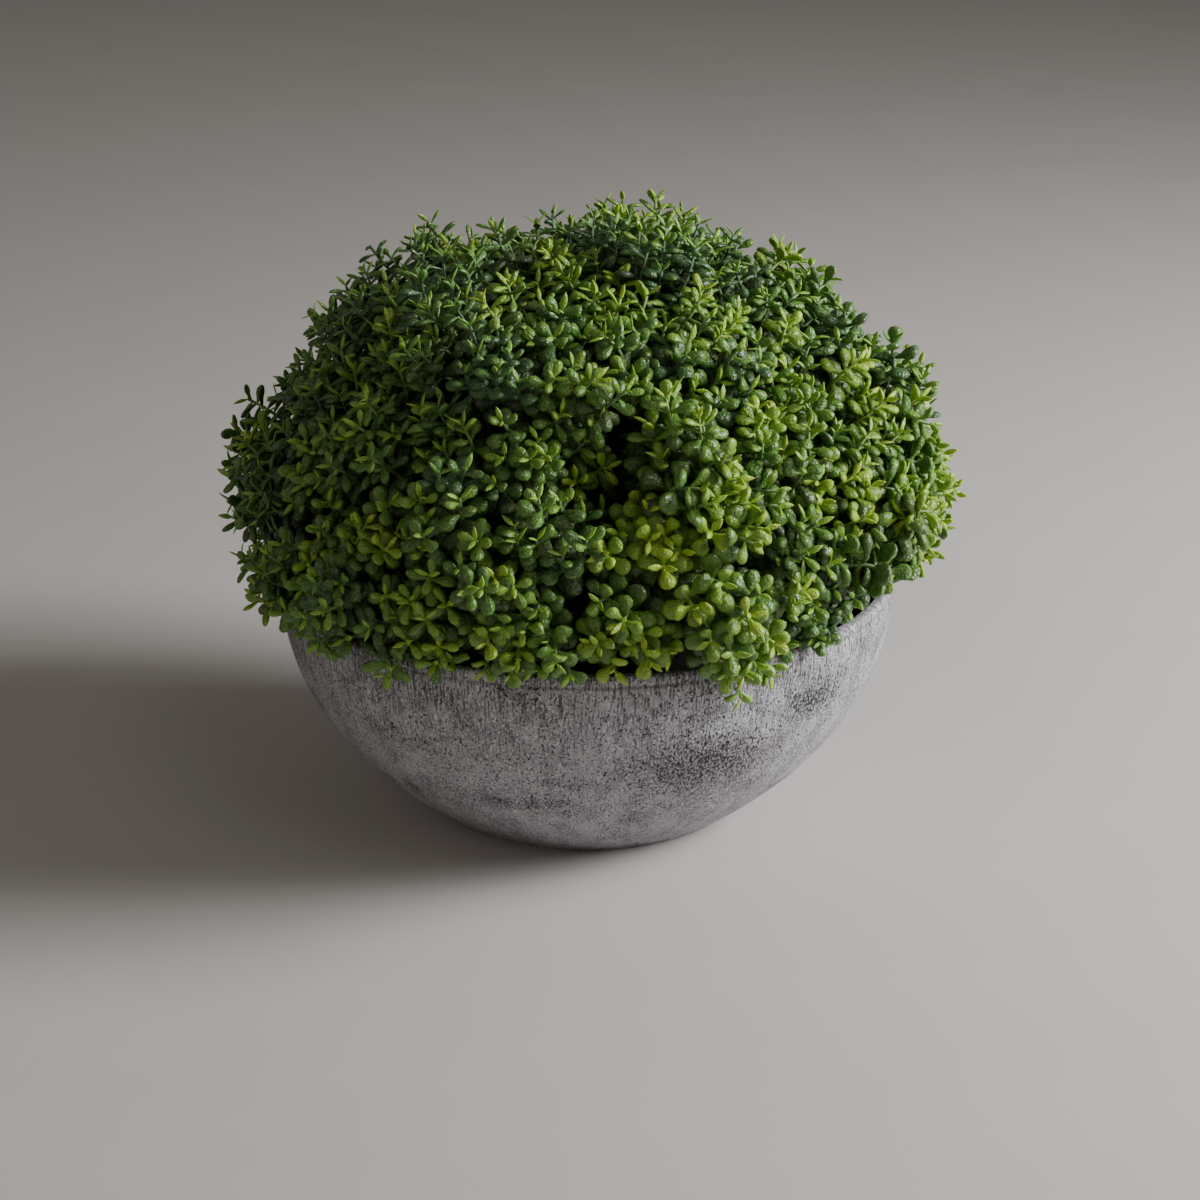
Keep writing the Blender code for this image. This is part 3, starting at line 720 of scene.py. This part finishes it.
# %% Curves of the shoots
UP_TURN = ([-6, 6, 38], [-0.5, 0.0, 0.80])  # elevation in degrees, and how far its shoots turn up
SPRIG_LEAN, SHOOT_LEAN = 0.50, 0.16  # how far a whole sprig, and each of its shoots, leans aside
TWIG_START, SHOOT_START = (0.42, 0.60), (0.15, 0.62)  # shares of the belt's reach, and of the twig
TWIG_REACH, TIP_LEAF, BEND_BACK = 0.86, 6.4 * MM, 0.45
limb_share = rng.uniform(*TWIG_START, len(sprig_ways))
twig_roots = CENTRE + axes[sprig_bough] * (BELT_REACH * limb_share)[:, None]
twig_tips = CENTRE + sprig_ways * (reach(sprig_ways) * sprig_fullness * TWIG_REACH)[:, None]
leave = rng.uniform(*SHOOT_START, len(shoot_ways))[:, None]
shoot_starts = twig_roots[shoot_sprig] * (1 - leave) + twig_tips[shoot_sprig] * leave
shoot_tips = CENTRE + shoot_ways * (reach(shoot_ways) * shoot_fullness - TIP_LEAF)[:, None]
shoot_length = np.linalg.norm(shoot_tips - shoot_starts, axis=1)
arrival = shoot_ways + np.interp(elevation, *UP_TURN)[:, None] * [0, 0, 1]
arrival += rng.normal(0, SPRIG_LEAN, sprig_ways.shape)[shoot_sprig]
arrival = unit(arrival + rng.normal(0, SHOOT_LEAN, shoot_ways.shape))
shoot_bends = shoot_tips - arrival * (BEND_BACK * shoot_length)[:, None]
print("mean length of a shoot, mm:", round(shoot_length.mean() / MM, 1))


def on_curve(t, index):
    """Points and directions of the quadratic curves: (1-t)^2 start + 2t(1-t) bend + t^2 tip."""
    t = t[..., None]
    start, bend, tip = shoot_starts[index], shoot_bends[index], shoot_tips[index]
    point = (1 - t) ** 2 * start + 2 * t * (1 - t) * bend + t**2 * tip
    return point, unit(2 * (1 - t) * (bend - start) + 2 * t * (tip - bend))


# %% Limbs and twigs
LIMB_END, LIMB_TAPER, TWIG_RADII, TWIG_PART = 84 * MM, 0.6 * MM, (1.5 * MM, 0.9 * MM), 0.66
TWIG_RINGS, TWIG_AROUND = 10, 8
share = np.linspace(0, 1, TWIG_RINGS)
limb_paths = CENTRE + axes[:, None] * (BOUGH_END + (LIMB_END - BOUGH_END) * share)[None, :, None]
limb_radii = (BOUGH_TIP - LIMB_TAPER * share)[None]
limb_forms = tubes(limb_paths, limb_radii, TWIG_AROUND, LIMB_BARK, LIMB_BARK_SIZE, 7)
twig_paths = twig_roots[:, None] + (twig_tips - twig_roots)[:, None] * (TWIG_PART * share)[None, :, None]
twig_radii = np.interp(share, [0, 1], TWIG_RADII)[None]
twig_forms = tubes(twig_paths, twig_radii, TWIG_AROUND, LIMB_BARK, LIMB_BARK_SIZE, 8)
twig_mesh = ringed_mesh("twigs", np.concatenate([limb_forms, twig_forms]), TWIG_RINGS, TWIG_AROUND)
add_piece("twigs", twig_mesh, bark)

# %% [markdown]
# Each shoot's stalk is a thin tube along its curve. Its plastic is a dull, greyed green, as a stem
# with a bloom on it. A shoot takes its sprig's tint or one near it, and inner shoots are dark.

# %% Stalks
STALK_POINTS, STALK_SIDES, STALK_RADII = 6, 5, (0.8 * MM, 0.55 * MM)
share = np.linspace(0, 1, STALK_POINTS)
every = np.arange(len(shoot_ways))
stalk_paths = on_curve(np.broadcast_to(share, (len(every), STALK_POINTS)), every[:, None])[0]
stalk_forms = tubes(stalk_paths, np.interp(share, [0, 1], STALK_RADII)[None], STALK_SIDES)
shoot_tint = np.clip(sprig_tint[shoot_sprig] + rng.choice([-2, -1, 0, 0, 0, 1], len(shoot_ways)), 0, 4)
shoot_tint = np.where(inner, np.maximum(shoot_tint, 3), shoot_tint)
STALK_GREENS = {"lime": ("#6f8a30", "#9bb45a"), "fresh": ("#5d7e34", "#8aa860"),
                "mid": ("#4c6c36", "#7a9866"), "deep": ("#3e5c34", "#6c8a62"),
                "blue": ("#3a5838", "#688668")}
for number, (tint, (dark, light)) in enumerate(STALK_GREENS.items()):
    stalk, tree, shader = new_material("glaucous_stalk_" + tint)
    place = add_node(tree, "TexCoord", output="Object")
    bloom = add_node(tree, "TexNoise", {"Vector": place, "Scale": per_metre(4), "Detail": 3.0})
    bloom = add_node(tree, "MapRange", {"Value": bloom, "From Min": 0.3, "From Max": 0.7})
    tone = add_node(tree, "Mix", {"Factor": bloom, "A": linear(dark), "B": linear(light)}, **COLOURS)
    set_inputs(tree, shader, {"Base Color": tone, "Roughness": 0.45, "IOR": 1.46})
    mesh = ringed_mesh("stalks_" + tint, stalk_forms[shoot_tint == number], STALK_POINTS, STALK_SIDES)
    add_piece("stalks_" + tint, mesh, stalk)

# %% [markdown]
# ## Leaves
#
# A leaf of this plant is thick and waxy, like a small spoon: a narrow neck, a broad rounded end, and
# opposite pairs that each turn a quarter from the pair below. At the tip of a shoot a pair of short
# blades stands up in a V. Ages run from that pair (0) inwards, with each pair larger, rounder and
# more spread. A leaf that shows is 42 points, an old one or a blade at a tip 26, and a leaf deep inside
# 20, so that thousands of them stay light.

# %% Form of a leaf
BLADE_FORM = (np.array([0.08, 0.35, 0.62, 0.86]), 6)
FULL_FORM = (np.array([0.10, 0.34, 0.58, 0.80, 0.95]), 8)
OLD_FORM = (np.array([0.12, 0.42, 0.70, 0.92]), 6)
PLAIN_FORM = (np.array([0.12, 0.48, 0.84]), 6)
NECK_END = 0.16


def leaf_points(leaf, stations, around):
    """Points of many leaves at once, from arrays of their sizes and places.

    Along the leaf at share s the half width is half the width times a profile: it grows smoothly
    from the neck to 1 at the peak, then falls as (1 - x^blunt)^taper, where x runs from 0 at the
    peak to 1 at the end. Around it, at angle v, a point is out by cos v half widths and up by sin v
    half thicknesses, a quarter more above than below, less the dome times cos^2 v, which lowers (or,
    below 0, raises) the edges. The middle line bends up by bend * s^2 / 2 lengths.
    """
    s = stations[None, :]
    column = {name: values[:, None] for name, values in leaf.items() if values.ndim == 1}
    rise = np.clip((s - NECK_END) / (column["peak"] - NECK_END), 0, 1)
    rise = column["neck"] + (1 - column["neck"]) * rise**2 * (3 - 2 * rise)
    fall = np.clip((s - column["peak"]) / (1 - column["peak"]), 0, 1)
    profile = rise * (1 - fall ** column["blunt"]) ** column["taper"]
    half_width = column["width"] / 2 * profile
    half_thick = column["thickness"] / 2 * profile**0.8
    v = np.arange(around) / around * TURN
    across = half_width[..., None] * np.cos(v)
    thick = np.sin(v) * np.where(np.sin(v) > 0, 1.25, 0.75)
    up = half_thick[..., None] * thick - (column["dome"] * half_width)[..., None] * np.cos(v) ** 2
    bend = column["bend"] * s
    along = column["length"] * s * (1 - bend**2 / 6)
    lift = column["length"] * s * bend / 2
    lean = np.stack([-np.sin(bend), np.cos(bend)], -1)
    x = along[..., None] + up * lean[..., :1]
    z = lift[..., None] + up * lean[..., 1:]
    tip = np.stack([leaf["length"] * (1 - leaf["bend"] ** 2 / 6), 0 * leaf["length"],
                    leaf["length"] * leaf["bend"] / 2], -1)
    rings = np.stack([x, across, z], -1).reshape(len(tip), -1, 3)
    local = np.concatenate([np.zeros((len(tip), 1, 3)), rings, tip[:, None]], 1)
    frame_of_leaf = np.stack([leaf["along"], leaf["over"], leaf["face"]], 1)
    return leaf["root"][:, None] + np.einsum("lpi,lij->lpj", local, frame_of_leaf)


# %% [markdown]
# Each age has its distance from the tip, its opening from the stalk, its length and thickness, and a
# width for narrow leaves and one for round ones. A shoot's roundness mixes the two, and chance moves
# every leaf a little, because the picks are bent by hand.

# %% Sizes of the leaves by age
AGES, INNER_AGES, INNER_SIZE = 7, 4, 1.36  # inner shoots have fewer, larger pairs
NODES = np.array([0.0, 3.4, 7.2, 11.4, 16.0, 21.0, 26.5]) * MM
CLOSE_NODES = 0.66  # the share of that spacing on a shoot with narrow leaves
OPENING = np.radians([38, 52, 62, 71, 78, 83, 87])
LENGTH = np.array([6.2, 7.8, 8.8, 9.4, 9.8, 10.3, 10.8]) * MM
NARROW = np.array([1.8, 2.4, 2.9, 3.4, 4.0, 4.9, 5.9]) * MM
ROUND = np.array([2.8, 5.9, 7.4, 8.4, 9.0, 9.4, 9.8]) * MM
THICK = np.array([1.1, 2.4, 3.1, 3.5, 3.8, 4.0, 4.0]) * MM
PAIR_TURN = math.radians(97)
print("an outer shoot carries leaves for, mm:", round(NODES.max() / MM, 1))

# %% Place and turn of each leaf
shoot_round = sprig_round[shoot_sprig]
sprig_size = rng.uniform(0.92, 1.10, len(sprig_ways))
shoot_size = sprig_size[shoot_sprig] * rng.uniform(0.94, 1.06, len(shoot_ways))
shoot_spin = rng.uniform(0, TURN, len(shoot_ways))
index, age, half = np.meshgrid(np.arange(len(shoot_ways)), np.arange(AGES), [0, 1], indexing="ij")
index, age, half = index.ravel(), age.ravel(), half.ravel()
count = len(index)
spacing = shoot_size * (CLOSE_NODES + (1 - CLOSE_NODES) * shoot_round)
distance = NODES[age] * spacing[index] + rng.normal(0, 0.4 * MM, count) * (age > 0)
t = 1 - distance / shoot_length[index]
root, line = on_curve(t, index)
first = square_to(line)
second = np.cross(line, first)
turn = shoot_spin[index] + age * PAIR_TURN + half * math.pi + rng.normal(0, 0.16, count)
side_way = np.cos(turn)[:, None] * first + np.sin(turn)[:, None] * second
opening = OPENING[age] + rng.normal(0, math.radians(7), count)
along_way = line * np.cos(opening)[:, None] + side_way * np.sin(opening)[:, None]
face_way = line * np.sin(opening)[:, None] - side_way * np.cos(opening)[:, None]
print("leaves before trimming:", count)

# %% Size and form of each leaf
roundness = np.clip(shoot_round[index] + rng.normal(0, 0.08, count), 0, 1)
size = shoot_size[index] * rng.uniform(0.9, 1.08, count) * np.where(inner[index], INNER_SIZE, 1)
length = LENGTH[age] * size * (0.92 + 0.03 * roundness)
leaves = {
    "root": root, "along": along_way, "over": np.cross(face_way, along_way), "face": face_way,
    "length": length,
    "width": (NARROW[age] * (1 - roundness) + ROUND[age] * roundness) * size,
    "thickness": THICK[age] * (0.5 + 0.5 * roundness) * size,
    "neck": 0.34 - 0.14 * roundness,
    "peak": np.where(age == 0, 0.42, 0.60 + 0.11 * roundness),
    "blunt": np.where(age == 0, 1.6, 2.2 + 0.5 * roundness),
    "taper": np.where(age == 0, 0.9, 0.5),
    "dome": rng.normal(0.16, 0.18, count) * np.where(age == 0, -0.5, 1),
    "bend": rng.normal(-0.25, 0.22, count) - 0.25 * (1 - roundness) + 0.2 * (age < 2),
}
print("mean length of the leaves, mm:", round(length.mean() / MM, 1))

# %% [markdown]
# The lowest leaves lie over the rim, and none may go through the bowl. A leaf is kept when all its
# points are above the rim, or outside the wall, or inside the bowl over the filling. It is also kept
# only within the crown's reach.

# %% Trim to the bowl and the outline
CLEAR = 0.5 * MM


def clears_bowl(points):
    """True for points over the rim, outside the wall, or in the bowl above the filling."""
    radius = np.hypot(points[..., 0], points[..., 1])
    share = np.clip(points[..., 2] / BOWL_HEIGHT, 0, 1)
    wall_radius = belly(share)[..., 0]
    above = points[..., 2] > BOWL_HEIGHT + CLEAR
    outside = radius > wall_radius + CLEAR
    inside = (radius < wall_radius - WALL - 2 * CLEAR) & (points[..., 2] > fill_top + CLEAR)
    return above | outside | inside


plain_points = leaf_points(leaves, *PLAIN_FORM)
offset = plain_points - CENTRE
far = np.linalg.norm(offset, axis=-1)
within = far < reach(unit(offset)) * 1.03 + 2 * MM
kept = clears_bowl(plain_points).all(1) & within.all(1) & (t > 0.05)
kept &= ~inner[index] | (age < INNER_AGES)
print("leaves kept:", int(kept.sum()), "of", count)

# %% [markdown]
# The plastic is moulded in the tint of its pick, and the maker sprays the young tips lighter and
# yellower, so five ages of leaf in five tints make twenty-five greens. Each is a waxy moulded plastic: a
# stippled gloss from the mould, faint veins along the leaf, and paler thin edges and neck. The paler
# edges are partly the real margin and partly painted rim light, and pale flecks on the stipple are
# painted glints. The edges and veins follow the leaf, so each point carries three numbers: its share
# along the leaf, how far it is across, and a random number that is the same all over one leaf.

# %% Waxy plastic leaves
GREENS = {
    "lime": ("#a4bf3c", "#8cae34", "#709430", "#53702e", "#50682e"),
    "fresh": ("#94b640", "#78a038", "#5a8230", "#4a662e", "#4a6632"),
    "mid": ("#86ae3e", "#668e34", "#507632", "#465e2e", "#466434"),
    "deep": ("#84ac3e", "#5a8436", "#466a32", "#3f552e", "#436134"),
    "blue": ("#76a044", "#527a3a", "#3f6038", "#3b4f31", "#3f5c38"),
}
AGE_NAMES = ("tip", "young", "grown", "old", "inner")
GLOSS = (0.27, 0.25, 0.26, 0.31, 0.40)
FORMS = (BLADE_FORM, FULL_FORM, FULL_FORM, OLD_FORM, PLAIN_FORM)
AGE_OF_PAIR = np.array([0, 1, 2, 2, 3, 3, 4])  # the seventh pair, deep in the crown, is plain as inner
VEINS = 4  # ridges from the middle of a leaf to its edge
STIPPLE = 0.95  # mm: the mould's grain, drawn nearly twice as coarse as the real one, to show


def waxy_plastic(name, colour, roughness):
    """Moulded plastic for a leaf: its tint, paler at the edges and neck, with veins and stipple.

    The tint runs from 0.7 to 1.15 of itself with a mottle and the leaf's own chance. The edge and the
    neck take a paler mix of it; at the edge it is partly the real margin and partly painted rim light.
    The stipple's grains are glossier and stand up in the bump, and pale flecks on them are painted glints.
    """
    material, tree, shader = new_material(name)
    base = np.array(linear(colour)[:3])
    # Paler edge colour: partly the real margin, partly painted rim light.
    pale_edge_and_rim_light = base * [1.30, 1.32, 1.12] + [0.006, 0.010, 0.003]
    # Pale fleck colour: painted glints on the stipple.
    painted_glint = base * 0.80 + [0.17, 0.20, 0.10]
    place = add_node(tree, "TexCoord", output="Object")
    follow = add_node(tree, "Attribute", output="Vector", attribute_name="on_leaf")
    along, across, chance = add_node(tree, "SeparateXYZ", {"Vector": follow}).node.outputs
    side = add_node(tree, "Math", {0: across}, operation="ABSOLUTE")
    edge_and_rim_light = add_node(tree, "MapRange", {"Value": side, "From Min": 0.6, "From Max": 1.0, "To Max": 0.8})
    neck = add_node(tree, "MapRange", {"Value": along, "From Min": 0.40, "From Max": 0.05, "To Max": 0.8})
    pale = add_node(tree, "Math", {0: edge_and_rim_light, 1: neck}, operation="MAXIMUM")
    mottle = add_node(tree, "TexNoise", {"Vector": place, "Scale": per_metre(2.6), "Detail": 3.0})
    mottle = add_node(tree, "Math", {0: mottle, 1: chance}, operation="ADD")
    mottle = add_node(tree, "Math", {0: mottle, 1: 0.55}, operation="MULTIPLY")
    tone = {"Factor": mottle, "A": (*base * 0.70, 1), "B": (*base * 1.15, 1)}
    tone = add_node(tree, "Mix", tone, **COLOURS)
    # Paler at the edges and neck; at the edges this is partly painted rim light.
    tone = add_node(tree, "Mix", {"Factor": pale, "A": tone, "B": (*pale_edge_and_rim_light, 1)}, **COLOURS)
    stipple = add_node(tree, "TexNoise", {"Vector": place, "Scale": per_metre(STIPPLE), "Detail": 1.0})
    grains = add_node(tree, "MapRange", {"Value": stipple, "From Min": 0.57, "From Max": 0.63,
                                         "To Max": 0.5})
    # Pale flecks on the stipple's grains: painted glints.
    tone = add_node(tree, "Mix", {"Factor": grains, "A": tone, "B": (*painted_glint, 1)}, **COLOURS)
    rough = add_node(tree, "MapRange", {"Value": stipple, "From Min": 0.35, "From Max": 0.65,
                                        "To Min": roughness + 0.10, "To Max": roughness - 0.06})
    ridges = add_node(tree, "Math", {0: across, 1: VEINS * math.pi}, operation="MULTIPLY")
    ridges = add_node(tree, "Math", {0: ridges}, operation="SINE")
    raised = add_node(tree, "Math", {0: ridges, 1: 0.05, 2: stipple}, operation="MULTIPLY_ADD")
    bumpy = add_node(tree, "Bump", {"Height": raised, "Strength": 1.0, "Distance": 0.50 * MM})
    set_inputs(tree, shader, {
        "Base Color": tone, "Roughness": rough, "Normal": bumpy, "IOR": 1.48,
        "Subsurface Weight": 0.14, "Subsurface Scale": 1.5 * MM, "Subsurface Radius": (0.6, 1.0, 0.2)})
    return material


# %% Numbers that follow each leaf
def add_leaf_numbers(mesh, stations, around, count, rng):
    """Stores share along, cos v across and one random number per leaf, for every point."""
    v = np.arange(around) / around * TURN
    along = np.concatenate([[0], np.repeat(stations, around), [1]])
    across = np.concatenate([[0], np.tile(np.cos(v), len(stations)), [0]])
    numbers = np.empty((count, len(along), 3), np.float32)
    numbers[..., 0], numbers[..., 1] = along, across
    numbers[..., 2] = rng.uniform(0, 1, count)[:, None]
    mesh.attributes.new("on_leaf", "FLOAT_VECTOR", "POINT").data.foreach_set("vector", numbers.ravel())


# %% [markdown]
# The leaves of one tint and age are joined into one piece, so a green stays with its sprigs wherever
# the model goes. All of them together stand for the ten masses.

# %% Leaves, a piece for each tint and age
masses = ["mass_" + name for name in bough_names]
leaf_tint = shoot_tint[index]
leaf_age = np.where(inner[index], 4, AGE_OF_PAIR[age])
for tint_number, tint in enumerate(TINTS):
    for age_number, age_name in enumerate(AGE_NAMES):
        mine = kept & (leaf_tint == tint_number) & (leaf_age == age_number)
        name = f"leaves_{tint}_{age_name}"
        form = FORMS[age_number]
        chosen = {key: values[mine] for key, values in leaves.items()}
        mesh = ringed_mesh(name, leaf_points(chosen, *form), len(form[0]), form[1])
        add_leaf_numbers(mesh, *form, int(mine.sum()), rng)
        material = waxy_plastic(f"waxy_{tint}_{age_name}", GREENS[tint][age_number], GLOSS[age_number])
        add_piece(name, mesh, material, masses)
print("triangles in all:", sum(triangle_counts))

# %% Sizes, and the end
visual_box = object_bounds()
for name, box in (("CAD", cad_box), ("visual", visual_box)):
    print(name, "box, mm:", [[round(v / MM, 1) for v in point] for point in box])
